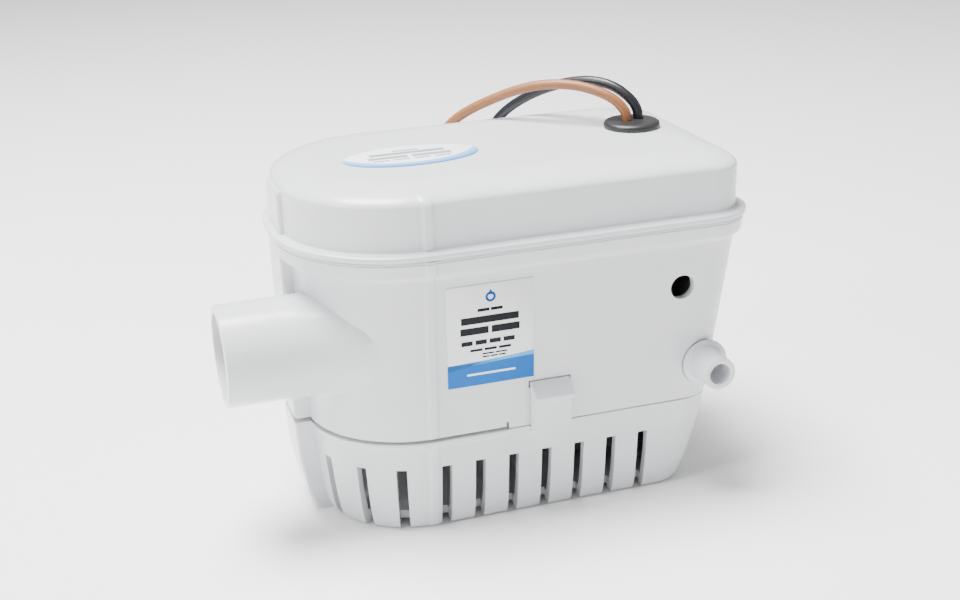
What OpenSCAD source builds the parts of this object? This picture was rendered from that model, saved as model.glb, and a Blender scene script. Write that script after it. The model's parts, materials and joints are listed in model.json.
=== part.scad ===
// Automatic bilge pump: a hose spout and motor at the round end, a float switch
// at the square end, over a slotted strainer that snaps on from below.
// Millimetres. The origin is the middle of the four base screw holes, on the
// face that rests on the hull; +X runs to the float end, +Z is up.

/* [Body] */
// Length over the cover's lip
body_len = 132; // [125:1:160]
// Width over the cover's lip
body_w = 82; // [80:1:100]
// Radius of the lip's two corners at the pump end
pump_end_r = 35.8; // [34:0.2:38]
// Radius of the lip's two corners at the float end
float_end_r = 14; // [12:0.5:20]
// Thickness of the moulded walls
wall = 2.4; // [2:0.1:2.8]
// Lean of the long walls from the vertical, in degrees
side_draft = 2.75; // [1:0.25:3.5]
// Lean of the float end wall from the vertical, in degrees
end_draft = 8; // [4:0.5:9]
// How far the long walls stand in from the lip, just below the rim
side_inset = 4.1; // [3.5:0.1:5]
// How far the float end wall stands in from the lip, just below the rim
end_inset = 2; // [2:0.1:4]
// Half width of the flat pad down the pump end
pad_half_w = 8.5; // [6:0.5:12]

/* [Heights] */
// Height of the strainer, up to the seam with the housing
seam_z = 29; // [27:1:36]
// Underside of the housing's rim
rim_z = 79; // [76:1:100]
// Height of the rim
rim_h = 5; // [4:0.5:8]
// Thickness of the cover's lip
lip_h = 1.8; // [1.5:0.1:3]
// Height of the cover above its lip
dome_h = 16.5; // [16:0.5:24]
// Height of the dome's rounded shoulder
shoulder_h = 4.5; // [3:0.5:7]
// Width of the dome's rounded shoulder
shoulder_w = 14; // [8:1:14]

/* [Spout] */
// Outer diameter, for a 1-1/8 inch hose
spout_od = 28.6; // [24:0.2:34.4]
// Wall of the spout
spout_wall = 2.3; // [1.8:0.1:3]
// Reach of the spout past the lip
spout_reach = 18.5; // [16:0.5:30]
// Height of the spout's axis above the seam
spout_up = 27; // [24:0.5:32]
// Distance of the spout's axis to the front of the pump's axis
spout_off = 15.5; // [8:0.5:16]

/* [Strainer] */
// Width of a slot
slot_w = 3; // [2:0.1:4]
// Height of a slot
slot_h = 20.5; // [14:0.5:22]
// Distance from slot to slot along the sides
slot_pitch = 10; // [8:0.5:12]
// Number of slots along each side
slot_count = 7; // [4:1:7]
// Thickness of the floor
floor_t = 2.5; // [2:0.1:4]
// Height of the floor's underside
floor_z = 1.5; // [1:0.1:3]
// Diameter of a base screw hole
base_hole_d = 4.5; // [4:0.1:5.5]
// Screw hole spacing along the length
base_x = 80; // [60:1:84]
// Screw hole spacing across the width
base_y = 36; // [24:1:40]

/* [Pump] */
// Diameter of the motor's can
motor_d = 32; // [27:0.5:33]
// Length of the motor's can
motor_len = 49; // [42:1:50]
// Diameter of the motor's shaft
shaft_d = 3.2; // [2.5:0.1:4]
// Diameter of the impeller
impeller_d = 38; // [32:0.5:41]
// Number of impeller blades
blade_count = 6; // [4:1:8]
// Diameter of the inlet eye
eye_d = 16; // [12:0.5:20]
// Inner diameter of the pump chamber
chamber_d = 44; // [43:0.5:45]

/* [Float switch] */
// Length of the float
float_len = 32; // [26:1:34]
// Width of the float
float_w = 44; // [30:1:46]
// Height of the float
float_h = 15; // [10:1:15]
// Diameter of the float's hinge pin
pin_d = 3; // [2:0.1:4]
// Diameter of the vent hole
vent_d = 7.2; // [5:0.1:9]
// Diameter of the test knob at its open end
knob_d = 8.5; // [8:0.1:10]
// Height of the test knob's axis above the seam
knob_up = 11.4; // [10:0.2:14]

/* [Cable and labels] */
// Diameter of the grommet's head
grommet_d = 16.6; // [14:0.2:20]
// Diameter of one lead over its insulation
lead_d = 3; // [2.5:0.1:3.2]
// Width of the front label
label_w = 25; // [20:1:26]
// Height of the front label
label_h = 30; // [20:1:32]

/* [Hidden] */

abs_white = "white";
rubber_black = "#222222";
steel = "silver";

fit = 0.2;                // gap between pieces that slip together
running = 0.05;           // radial gap of a shaft in its hole
$fn = 64;

rim_top = rim_z + rim_h;
lip_z = rim_top + fit;
lip_top = lip_z + lip_h;
cover_top = lip_top + dome_h;
lip_over = 3;             // lip beyond the dome's wall
rim_in = 0.8;             // rim inside the lip's edge
lip_left = -body_len / 2;
lip_right = body_len / 2;
pump_x = lip_left + pump_end_r;
deck_t = 3;
deck_top = rim_z + deck_t;

// Plan outline with round corners: pump_r at the pump end, far_r at the float end
function arc_points(cx, cy, r, a0, steps) =
    [for (i = [0:steps]) let (a = a0 + 90 * i / steps) [cx + r * cos(a), cy + r * sin(a)]];
function outline(left, right, half_w, pump_r, far_r) = concat(
    arc_points(right - far_r, half_w - far_r, far_r, 0, 8),
    arc_points(left + pump_r, half_w - pump_r, pump_r, 90, 14),
    arc_points(left + pump_r, pump_r - half_w, pump_r, 180, 14),
    arc_points(right - far_r, far_r - half_w, far_r, 270, 8));
function lip_outline(inset) = outline(lip_left + inset, lip_right - inset,
    body_w / 2 - inset, pump_end_r - inset, max(float_end_r - inset, 2));

// How far the housing's walls stand in from the lip at height z
function side_in(z) = side_inset + (rim_z - z) * tan(side_draft);
function end_in(z) = end_inset + (rim_z - z) * tan(end_draft);
function wall_outline(z, more = 0) = outline(lip_left + side_in(z) + more,
    lip_right - end_in(z) - more, body_w / 2 - side_in(z) - more,
    pump_end_r - side_in(z) - more, float_end_r - 2 - more);
function wall_y(z) = body_w / 2 - side_in(z);
function wall_x(z) = lip_right - end_in(z);

// The strainer's walls go on from the housing's and curl in at the foot:
// height, further inset of the sides, further inset of the float end
strainer_steps = [[0, 4.9, 8.4], [4, 2.8, 6], [10, 1.8, 4.4], [seam_z, 0, 0]];
function strainer_outline(step, more = 0) = outline(
    lip_left + side_in(seam_z) + step[1] + more,
    lip_right - end_in(seam_z) - step[2] - more,
    wall_y(seam_z) - step[1] - more,
    pump_end_r - side_in(seam_z) - step[1] - more,
    float_end_r - 3 - more);
floor_top = floor_z + floor_t;

spout_y = -spout_off;
spout_z = seam_z + spout_up;
spout_r = spout_od / 2;
spout_end = lip_left - spout_reach;
spout_root_r = spout_r + 1.8;
pad_x = lip_left + 1.4;
spout_straight = spout_reach - 0.5;
rib_w = 3.4;
rib_out = 0.8;

// Motor, from the well's floor up
well_floor = seam_z + 6;
well_bottom = seam_z + 3;
well_r = motor_d / 2 + 0.6;
well_wall = 2;
can_r = motor_d / 2;
can_z = well_floor + 0.3;
can_top = can_z + motor_len;
can_wall = 1;
end_cap_h = 5;
shaft_r = shaft_d / 2;
seal_r = 5;
bearing_r = 4.5;
bearing_h = 3.5;
core_r = can_r - can_wall - 4.2;
core_z = can_z + 10;
core_h = 22;
commutator_r = 4.2;
commutator_z = core_z + core_h + 6;
commutator_h = 7;
brush_z = commutator_z + commutator_h / 2;
magnet_t = 3.4;
brush_gap = 0.1;
brush_end = commutator_r + brush_gap + 5;
holder_end = can_r - can_wall - 0.6;
pocket_end = holder_end - 2;
ear_reach = can_r + 3;
ear_r = 3.4;

// Pump chamber and impeller, under the well
chamber_r = chamber_d / 2;
skirt_wall = 2;
skirt_r = chamber_r + skirt_wall;
skirt_z = 18;
plate_t = 2.2;
spigot_h = 1.3;
shroud_z = 26.8;
blade_h = shroud_z - skirt_z - spigot_h - 0.8;
boss_angles = [0, 115, 245];
boss_reach = skirt_r + 1.8;
boss_r = 2.6;

// Partition, float chamber and float
part_x = max(pump_x + well_r + well_wall + 6, pump_x + skirt_r + 0.4);
pivot_x = part_x + wall + 8;
pivot_z = seam_z + 5;
float_x = pivot_x + 6;
float_z = 11;
float_top = float_z + float_h;
ear_w = 4;
ear_y = float_w / 2 - ear_w;
pin_len = body_w - 2 * side_in(pivot_z) - 2 * wall - 2;

// Test knob on the front, near the float end
knob_x = wall_x(seam_z + knob_up) - 6.5;
knob_z = seam_z + knob_up;
lug_x = knob_x - 18;
collar_r = 6.8;
collar_t = 1.4;
collar_y = -wall_y(knob_z) + 0.3;
knob_reach = 10.6;
knob_shaft_r = 3;
knob_boss_r = 6.2;
knob_boss_in = 8;
knob_socket_d = 6.1;
finger_len = 11;
finger_r = 1.5;
finger_rest = -20;

// Switch capsule behind the vent hole
vent_x = lip_right - 22.1;
vent_z = seam_z + 35.9;
capsule_r = 8;
capsule_y = -body_w / 2 + 24;
capsule_z = 56;

// Grommet and leads
grommet_x = lip_right - 21.2;
grommet_y = 2;
grommet_head = 2.1;
grommet_neck_r = 6;
grommet_flange_r = 7.5;
lead_r = lead_d / 2;
grommet_top = cover_top + grommet_head;
brown_at = [grommet_x - 1.5, grommet_y];
black_at = [grommet_x + 2.5, grommet_y + 1];

// Latches: an upright arm outside the wall with a thumb tongue on top
latch_x = 4;
latch_w = 11.6;
latch_foot = seam_z - 0.4;
arm_top = seam_z + 9.4;
tongue_top = seam_z + 14;
catch_z = tongue_top - 1.8;
step_x = -8;              // the seam's wide groove ends here

// Free leads: points along each route, from the grommet over the back to the coil
brown_route = [
    [43.3, 2, 104.6], [42.6, 2.4, 107.4], [40, 4.4, 110.6], [35.4, 8.4, 113], [29.5, 13.4, 114.2],
    [22.6, 19.4, 113.6], [16.2, 25, 111.3], [9.2, 31.2, 107.4], [3.4, 36.4, 103.2],
    [-0.8, 40.3, 98.6], [-3.8, 43.1, 93], [-5.6, 44.9, 86], [-6.4, 45.8, 78],
    [-6.8, 46.4, 68], [-6.9, 46.8, 56], [-6.7, 47, 44], [-6.2, 47.2, 33],
    [-5.2, 47.6, 24], [-3, 48.6, 16], [0, 50.2, 10], [4, 52, 6.2], [9, 53.4, 4.2], [14.5, 53.8, 3.4]
];
black_route = [
    [47.3, 3, 104.6], [47, 3.3, 107.2], [45.4, 4.6, 110.2], [41.8, 8.4, 113.4], [37, 13.6, 114.6],
    [31.4, 20, 113.4], [25.6, 26.6, 110.4], [20.8, 32.2, 106.6], [17.2, 36.6, 102.6],
    [14.6, 39.8, 98.2], [12.6, 42.4, 92.4], [11.6, 44, 85], [11.2, 45, 77],
    [11, 45.8, 67], [11, 46.4, 56], [11.2, 46.8, 45], [11.6, 47.2, 36],
    [12.4, 47.8, 28], [14, 49, 21], [16.4, 50.8, 16], [19, 52.2, 12.8], [22, 53, 11], [25.5, 53.2, 10.4]
];
coil_x = 20;
coil_y = 71;
coil_mid_r = 16.4;
coil_cols = 3;
coil_half_w = coil_cols * lead_r;
tie_t = 0.8;
brown_coil_z = tie_t + 0.1;
coil_h = 6.4;
black_coil_z = brown_coil_z + coil_h + 0.1;
tip_len = 8;
tip_r = 0.9;

// A solid whose outline changes with height: rings is a list of [z, outline]
module loft(rings) {
    n = len(rings[0][1]);
    top = (len(rings) - 1) * n;
    points = [for (ring = rings, p = ring[1]) [p[0], p[1], ring[0]]];
    sides = [for (i = [0:len(rings) - 2], k = [0:n - 1]) let (a = i * n, m = (k + 1) % n)
        [a + k, a + n + k, a + n + m, a + m]];
    polyhedron(points, concat([[for (k = [0:n - 1]) k]], sides, [[for (k = [n - 1:-1:0]) top + k]]));
}

module slab(z, h, points) {
    translate([0, 0, z]) linear_extrude(h) polygon(points);
}

module up_cylinder(x, y, z, h, r) {
    translate([x, y, z]) cylinder(h = h, r = r);
}

// A cylinder along +Y
module across(x, y, z, h, r, r_end = -1) {
    translate([x, y, z]) rotate([-90, 0, 0]) cylinder(h = h, r1 = r, r2 = r_end < 0 ? r : r_end);
}

module ring(z, h, r_out, r_in) {
    translate([0, 0, z]) difference() {
        cylinder(h = h, r = r_out);
        translate([0, 0, -1]) cylinder(h = h + 2, r = r_in);
    }
}

// An upright rib down the front and rear: profile is a list of [z, half width of the wall]
module side_rib(profile) {
    for (side = [0, 1]) mirror([0, side, 0])
        translate([pump_x - rib_w / 2, 0, 0]) rotate([90, 0, 90]) linear_extrude(rib_w)
            polygon(concat([for (p = profile) [-p[1] - rib_out, p[0]]],
                [for (i = [len(profile) - 1:-1:0]) [1 - profile[i][1], profile[i][0]]]));
}

// ---- Cover ----

// The dome: upright walls, then a wide soft shoulder, here inset all round by more
module dome_solid(z0, more) {
    top = cover_top - more;
    low = top - shoulder_h;
    base = lip_over + more;
    loft(concat(
        [[z0, outline(lip_left + base, lip_right - base, body_w / 2 - base,
            pump_end_r - base, float_end_r - 3)]],
        [for (a = [0:18:90]) let (in = base + shoulder_w * (1 - cos(a)))
            [low + shoulder_h * sin(a), outline(lip_left + in, lip_right - in, body_w / 2 - in,
                pump_end_r - in, float_end_r - 3)]]));
}

module top_cover() {
    color(abs_white) difference() {
        union() {
            slab(lip_z, lip_h, lip_outline(0));
            dome_solid(lip_z + 0.5, 0);
            side_rib([[lip_z + 0.4, body_w / 2 - lip_over],
                [cover_top - shoulder_h - 0.5, body_w / 2 - lip_over]]);
            translate([pad_x + 0.4, -pad_half_w, lip_z + 0.4])
                cube([8, 2 * pad_half_w, cover_top - shoulder_h - lip_z - 0.9]);
            slab(deck_top + 0.4, lip_z - deck_top, lip_outline(5.6));
        }
        slab(deck_top, lip_z + 1 - deck_top, lip_outline(7.6));
        dome_solid(lip_z + 0.8, wall);
        up_cylinder(grommet_x, grommet_y, cover_top - 6, 8, grommet_neck_r + 0.02);
    }
}

module cover_gasket() {
    color(rubber_black) difference() {
        slab(rim_top - 1.15, 1.15 + fit, lip_outline(2.6));
        slab(rim_top - 2, 3, lip_outline(4.6));
    }
}

module cable_grommet() {
    color(rubber_black) difference() {
        translate([grommet_x, grommet_y, cover_top]) {
            cylinder(h = grommet_head - 0.7, r = grommet_d / 2);
            translate([0, 0, grommet_head - 0.7])
                cylinder(h = 0.7, r1 = grommet_d / 2, r2 = grommet_d / 2 - 0.9);
            translate([0, 0, -wall - 1.6]) cylinder(h = wall + 1.6, r = grommet_neck_r);
            translate([0, 0, -wall - 1.6]) cylinder(h = 1.6, r = grommet_flange_r);
        }
        for (at = [brown_at, black_at])
            up_cylinder(at[0], at[1], cover_top - 8, 14, lead_r + running);
    }
}

// ---- Housing ----

module housing_outside() {
    loft([[seam_z + 0.15, wall_outline(seam_z + 0.15)], [rim_z + 0.1, wall_outline(rim_z)]]);
    slab(rim_z, rim_h, lip_outline(rim_in));
    side_rib([[seam_z + 1.3, wall_y(seam_z)], [rim_z + 0.5, wall_y(rim_z)]]);
    side_rib([[rim_z + 0.3, body_w / 2 - rim_in], [rim_top - 0.4, body_w / 2 - rim_in]]);
    translate([pad_x, -pad_half_w, seam_z + 0.15])
        cube([10, 2 * pad_half_w, rim_top - seam_z - 0.35]);
    translate([spout_end, spout_y, spout_z]) rotate([0, 90, 0]) {
        cylinder(h = pump_x - spout_end, r = spout_r);
        translate([0, 0, spout_straight])
            cylinder(h = pad_x - spout_end + 12 - spout_straight, r1 = spout_r, r2 = spout_root_r);
        translate([0, 0, pad_x - spout_end + 12])
            cylinder(h = pump_x - pad_x - 14, r = spout_root_r);
    }
}

module wall_cavity(z0) {
    loft([[z0, wall_outline(z0, wall)], [rim_z, wall_outline(rim_z, wall)]]);
}

module pump_cavity() {
    difference() {
        wall_cavity(well_bottom);
        translate([part_x, -100, 0]) cube([200, 200, 200]);
    }
}

module float_cavity() {
    difference() {
        wall_cavity(seam_z - 1);
        translate([part_x + wall - 200, -100, 0]) cube([200, 200, 200]);
    }
}

module plate_bosses(z, h, r) {
    for (a = boss_angles) translate([pump_x, 0, 0]) rotate([0, 0, a])
        up_cylinder(boss_reach, 0, z, h, r);
}

// The motor's well, hung in the pump chamber below the deck
module motor_well() {
    translate([pump_x, 0, 0]) difference() {
        cylinder_between(well_bottom, rim_z + 0.5, well_r + well_wall);
        cylinder_between(well_floor, deck_top + 1, well_r);
        cylinder_between(well_bottom - 1, well_floor + 1, seal_r);
    }
}

module cylinder_between(z0, z1, r) {
    translate([0, 0, z0]) cylinder(h = z1 - z0, r = r);
}

// Two arms that hold the float's hinge pin, on the partition
module pivot_arms() {
    for (side = [-1, 1]) difference() {
        translate([part_x, side * (float_w / 2 + 2.2) - 1.8, pivot_z - 4])
            cube([pivot_x - part_x + 4, 3.6, 10]);
        across(pivot_x, -60, pivot_z, 120, pin_d / 2 + 0.02);
    }
}

module pump_housing() {
    color(abs_white) {
        difference() {
            union() {
                difference() {
                    housing_outside();
                    pump_cavity();
                    float_cavity();
                    slab(deck_top, rim_h, lip_outline(5.4));
                    difference() {
                        slab(rim_top - 1.15, 2, lip_outline(2.5));
                        slab(rim_top - 2, 4, lip_outline(4.7));
                    }
                    translate([-200, -100, seam_z - 0.5]) cube([200 + step_x, 200, 1.7]);
                    translate([spout_end - 1, spout_y, spout_z]) rotate([0, 90, 0])
                        cylinder(h = pump_x - spout_end - 12, r = spout_r - spout_wall);
                }
                translate([pump_x, 0, 0]) {
                    cylinder_between(skirt_z + 0.2, well_bottom + 0.5, skirt_r);
                    for (side = [-1, 1])
                        up_cylinder(0, side * ear_reach, rim_z + 1, can_top - rim_z - 1.2, ear_r);
                }
                plate_bosses(skirt_z + 0.2, well_bottom - skirt_z - 0.7, boss_r);
                pivot_arms();
                across(knob_x, collar_y - 1, knob_z, knob_boss_in, knob_boss_r);
                up_cylinder(vent_x - 12, capsule_y, rim_z - 5, 5.5, 2.6);
                up_cylinder(vent_x + 12, capsule_y, rim_z - 5, 5.5, 2.6);
            }
            translate([pump_x, 0, 0]) {
                cylinder_between(skirt_z - 1, well_bottom + 1, chamber_r);
                cylinder_between(rim_z - 1, can_top, well_r);
                for (side = [-1, 1])
                    up_cylinder(0, side * ear_reach, can_top - 4.5, 6, 1.25);
            }
            plate_bosses(skirt_z - 1, 9, 1.1);
            across(knob_x, -body_w, knob_z, body_w + collar_y + 0.2, collar_r + 0.4);
            across(knob_x, -body_w, knob_z, body_w, knob_shaft_r + running);
            across(knob_x, collar_y + 2.2, knob_z, 2.2, knob_shaft_r + 1.35);
            across(knob_x, collar_y + knob_boss_in - 1, knob_z, 1, knob_shaft_r + 1.5);
            across(vent_x, -body_w, vent_z, body_w, vent_d / 2);
            for (side = [-1, 1])
                translate([latch_x - latch_w / 2 - 0.4, side * (wall_y(catch_z) + 2) - 3.5, catch_z - 0.3])
                    cube([latch_w + 0.8, 7, tongue_top - catch_z + 0.5]);
            up_cylinder(vent_x, capsule_y, rim_z - 1, deck_t + 3, 4);
            for (x = [vent_x - 12, vent_x + 12]) up_cylinder(x, capsule_y, rim_z - 6, 6, 1.1);
        }
        motor_well();
    }
}

// ---- Strainer ----

module strainer_outside() {
    loft([for (step = strainer_steps) [step[0], strainer_outline(step)]]);
    intersection() {
        slab(seam_z - 1.4, 1.4, strainer_outline(strainer_steps[3], -0.5));
        translate([-200, -100, 0]) cube([200 + step_x, 200, 100]);
    }
    side_rib([for (step = strainer_steps) [step[0] + (step[0] == 0 ? 0.3 : 0) - (step[0] == seam_z ? 0.3 : 0),
        wall_y(seam_z) - step[1]]]);
    translate([0, pad_half_w, 0]) rotate([90, 0, 0]) linear_extrude(2 * pad_half_w)
        polygon([[pad_x + 5.3, 0], [pad_x + 3.6, 3], [pad_x + 2.2, 10], [pad_x + 0.8, 17],
            [pad_x + 0.3, seam_z], [pad_x + 12, seam_z], [pad_x + 12, 0]]);
}

module strainer_inside() {
    loft([[floor_top, strainer_outline([0, 3.4, 6.6], wall)],
        [12, strainer_outline([0, 1.7, 4], wall)], [seam_z + 1, strainer_outline([0, -0.1, 0], wall)]]);
}

module base_screw_places() {
    for (x = [-base_x / 2, base_x / 2], y = [-base_y / 2, base_y / 2])
        translate([x, y, 0]) children();
}

module slots() {
    reach = 12;
    for (side = [-1, 1]) {
        for (i = [0:slot_count - 1])
            translate([pump_x + 3.7 + i * slot_pitch - slot_w / 2,
                side > 0 ? wall_y(seam_z) - 8 : -wall_y(seam_z) - 4, -1])
                cube([slot_w, reach, slot_h + 1]);
        for (a = [19, 43, 69])
            translate([pump_x, side * (wall_y(seam_z) - pump_end_r + side_in(seam_z)), 0])
                rotate([0, 0, side * (90 + a)])
                    translate([pump_end_r - side_in(seam_z) - 8, -slot_w / 2, -1])
                        cube([reach, slot_w, slot_h + 1]);
    }
}

module strainer_base() {
    color(abs_white) difference() {
        union() {
            difference() {
                strainer_outside();
                strainer_inside();
                slab(-1, 1 + floor_z, strainer_outline(strainer_steps[0], 2));
                slots();
            }
            base_screw_places() cylinder(h = floor_top, r = 5);
        }
        base_screw_places() translate([0, 0, -1]) cylinder(h = 10, r = base_hole_d / 2);
        for (side = [0, 1]) mirror([0, side, 0])
            translate([latch_x - latch_w / 2 - 0.05, -wall_y(seam_z) - 1, latch_foot - 1.25])
                cube([latch_w + 0.1, 2.05, 3]);
    }
}

// One latch, made on the front; the rear one is its mirror image
module latch() {
    wall_foot = -wall_y(seam_z);
    top_y = -wall_y(arm_top) - 0.3;
    translate([latch_x - latch_w / 2, 0, 0]) rotate([90, 0, 90]) linear_extrude(latch_w)
        polygon([[wall_foot + 1, latch_foot - 1.2], [wall_foot + 1, latch_foot + 0.3],
            [wall_foot - 0.25, latch_foot + 0.3], [top_y, arm_top], [top_y - 0.05, catch_z],
            [top_y + 1.1, catch_z], [top_y + 1.1, tongue_top - 0.5], [top_y - 0.2, tongue_top],
            [top_y - 4.8, arm_top + 1], [top_y - 4.8, arm_top - 0.1], [top_y - 2.2, arm_top - 1],
            [wall_foot - 2.8, latch_foot], [wall_foot + 0.2, latch_foot],
            [wall_foot + 0.2, latch_foot - 1.2]]);
}

module front_latch() {
    color(abs_white) latch();
}

module rear_latch() {
    color(abs_white) mirror([0, 1, 0]) latch();
}

// ---- Float and its switch ----

module float() {
    color("#3a3a3c") difference() {
        union() {
            translate([float_x + 3, 3 - float_w / 2, float_z]) linear_extrude(float_h)
                offset(r = 3, $fn = 32) square([float_len - 6, float_w - 6]);
            for (side = [-1, 1]) {
                across(pivot_x, side * (ear_y + ear_w / 2) - ear_w / 2, pivot_z, ear_w, pin_d / 2 + 2.2);
                translate([pivot_x, side * (ear_y + ear_w / 2) + ear_w / 2, 0]) rotate([90, 0, 0])
                    linear_extrude(ear_w) polygon([[-3.4, pivot_z - 1], [3.4, pivot_z + 1],
                        [12, float_top - 0.5], [12, float_top - 6], [6, float_top - 6]]);
            }
            translate([lug_x, -float_w / 2 - 5, 0]) {
                translate([0, 0, float_top - 5]) cube([4, 7, knob_z - float_top + 6.2]);
                translate([0, 0, knob_z - 0.8]) cube([10, 7, 2]);
            }
        }
        across(pivot_x, -60, pivot_z, 120, pin_d / 2 + running);
        up_cylinder(vent_x - 6, capsule_y + 1, float_top - 4, 10, 3.1);
    }
}

module float_magnet() {
    color(steel) up_cylinder(vent_x - 6, capsule_y + 1, float_top - 3.9, 3.8, 3);
}

module float_pin() {
    color(steel) across(pivot_x, -float_w / 2 - 5.4, pivot_z, float_w + 10.8, pin_d / 2);
}

module switch_capsule() {
    color(rubber_black) difference() {
        union() {
            up_cylinder(vent_x, capsule_y, capsule_z, rim_z - 5.2 - capsule_z, capsule_r);
            up_cylinder(vent_x, capsule_y, rim_z - 6, 5.8, 3.7);
            translate([vent_x - 15, capsule_y - 3, rim_z - 7.2]) cube([30, 6, 2]);
        }
        up_cylinder(vent_x, capsule_y, capsule_z - 1, 15, 2.2);
        for (x = [vent_x - 12, vent_x + 12]) up_cylinder(x, capsule_y, rim_z - 10, 6, 1.6);
    }
}

module reed_switch() {
    color("#8fb7a8") up_cylinder(vent_x, capsule_y, capsule_z + 2.05, 11.9, 2.15);
}

// A pan head screw that points up, its head under the seat at z
module screw_up(x, y, z, thread_r, head_r, len) {
    up_cylinder(x, y, z, len, thread_r);
    up_cylinder(x, y, z - 1.6, 1.6, head_r);
}

module switch_screws() {
    color(steel) for (x = [vent_x - 12, vent_x + 12])
        screw_up(x, capsule_y, rim_z - 7.2, 1.05, 2.4, 6);
}

module test_knob() {
    tip_y = collar_y - knob_reach;
    finger_y = -float_w / 2 - 3.5;
    color(abs_white) difference() {
        union() {
            across(knob_x, collar_y - collar_t, knob_z, collar_t, collar_r);
            across(knob_x, tip_y + 0.6, knob_z, knob_reach - 0.6, knob_d / 2, knob_d / 2 + 0.65);
            across(knob_x, tip_y, knob_z, 0.6, knob_d / 2 - 0.5, knob_d / 2);
            across(knob_x, collar_y, knob_z, finger_y + 1.5 - collar_y, knob_shaft_r);
            translate([knob_x, finger_y + 1.5, knob_z]) rotate([90, 0, 0]) linear_extrude(3) {
                rotate(180 - finger_rest) translate([0, -finger_r]) square([finger_len, 2 * finger_r]);
                rotate(180 - finger_rest) translate([finger_len, 0]) circle(r = finger_r);
            }
        }
        across(knob_x, tip_y - 1, knob_z, 8, knob_socket_d / 2);
        translate([knob_x, collar_y + 2.2, knob_z]) rotate([-90, 0, 0])
            ring(0, 2.2, knob_shaft_r + 1, knob_shaft_r - 0.7);
    }
}

module knob_o_ring() {
    color(rubber_black) translate([knob_x, collar_y + 3.3, knob_z]) rotate([90, 0, 0])
        rotate_extrude() translate([knob_shaft_r + 0.3, 0]) circle(r = 0.9);
}

module knob_clip() {
    color(steel) translate([knob_x, collar_y + knob_boss_in - 0.95, knob_z]) rotate([-90, 0, 0])
        ring(0, 0.6, knob_shaft_r + 1.2, knob_shaft_r + 0.03);
}

// ---- Motor ----

module motor_can() {
    color(steel) translate([pump_x, 0, 0]) difference() {
        cylinder_between(can_z, can_top, can_r);
        cylinder_between(can_z + can_wall + bearing_h, can_top + 1, can_r - can_wall);
        cylinder_between(can_z - 1, can_z + 10, bearing_r + 0.02);
        difference() {
            cylinder_between(can_z + can_wall, can_z + can_wall + bearing_h + 1, can_r - can_wall);
            cylinder_between(can_z, can_z + 10, bearing_r + 1);
        }
    }
}

module motor_end_cap() {
    color("#555555") translate([pump_x, 0, 0]) difference() {
        union() {
            cylinder_between(can_top, can_top + end_cap_h, can_r);
            for (side = [-1, 1]) up_cylinder(0, side * ear_reach, can_top, 2.4, ear_r);
            translate([-ear_r, -ear_reach, can_top]) cube([2 * ear_r, 2 * ear_reach, 2.4]);
        }
        cylinder_between(can_top - 1, can_top + end_cap_h - bearing_h - 1, 8);
        cylinder_between(can_top - 1, can_top + end_cap_h - 0.8, bearing_r + 0.02);
        cylinder_between(can_top - 1, can_top + end_cap_h + 1, shaft_r + 0.8);
        for (side = [-1, 1]) {
            up_cylinder(0, side * ear_reach, can_top - 1, 6, 1.6);
            up_cylinder(side * 10, 0, can_top - 1, 9, 1.3);
        }
    }
}

module motor_screws() {
    color(steel) for (side = [-1, 1]) {
        up_cylinder(pump_x, side * ear_reach, can_top - 4.2, 6.6, 1.2);
        up_cylinder(pump_x, side * ear_reach, can_top + 2.4, 1.8, 2.6);
    }
}

module field_magnets() {
    color("#4a4a4e") translate([pump_x, 0, core_z - 2]) for (a = [0, 180]) rotate([0, 0, a])
        linear_extrude(core_h + 4) difference() {
            circle(r = can_r - can_wall - 0.05);
            circle(r = can_r - can_wall - magnet_t);
            rotate(60) translate([0, -50]) mirror([1, 0]) square([100, 100]);
            rotate(-60) translate([0, -50]) mirror([1, 0]) square([100, 100]);
        }
}

module motor_shaft() {
    color(steel) translate([pump_x, 0, 0])
        cylinder_between(skirt_z + spigot_h + 1.4, can_top + end_cap_h - 0.3, shaft_r);
}

module armature_core() {
    color("#777777") translate([pump_x, 0, core_z]) linear_extrude(core_h) difference() {
        union() {
            circle(r = core_r * 0.45);
            for (a = [0:72:288]) rotate(a) {
                translate([0, -1.6]) square([core_r - 1, 3.2]);
                intersection() {
                    difference() {
                        circle(r = core_r);
                        circle(r = core_r - 1.8);
                    }
                    polygon([[0, 0], [2 * core_r, -1.1 * core_r], [2 * core_r, 1.1 * core_r]]);
                }
            }
        }
        circle(r = shaft_r + 0.02);
    }
}

module armature_windings() {
    color("#b86b35") translate([pump_x, 0, 0]) {
        for (z = [core_z - 3.6, core_z + core_h + 0.1]) ring(z, 3.5, core_r - 1.2, shaft_r + 1.6);
        for (a = [36:72:324]) rotate([0, 0, a])
            up_cylinder(core_r * 0.68, 0, core_z - 0.2, core_h + 0.4, core_r * 0.15);
    }
}

module commutator() {
    color("#c98a4b") translate([pump_x, 0, commutator_z]) linear_extrude(commutator_h) difference() {
        circle(r = commutator_r);
        circle(r = shaft_r + 0.02);
        for (a = [0:72:288]) rotate(a) translate([commutator_r - 0.7, -0.25]) square([2, 0.5]);
    }
}

module brush_pair() {
    for (side = [0, 180]) translate([pump_x, 0, brush_z]) rotate([0, 0, side]) children();
}

module carbon_brushes() {
    color("#303030") brush_pair() translate([commutator_r + brush_gap, -1.8, -1.6]) cube([brush_end - commutator_r - brush_gap, 3.6, 3.2]);
}

module brush_holders() {
    start = commutator_r + brush_gap + 1;
    color("#6b4a2a") {
        brush_pair() difference() {
            translate([start, -2.8, -2.6]) cube([holder_end - start, 5.6, 5.2]);
            translate([start - 1, -1.9, -1.7]) cube([pocket_end - start + 1, 3.8, 3.4]);
        }
        translate([pump_x, 0, 0]) difference() {
            cylinder_between(brush_z + 2.6, brush_z + 4, can_r - can_wall - 0.1);
            cylinder_between(brush_z, brush_z + 6, commutator_r + 1);
        }
    }
}

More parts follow.
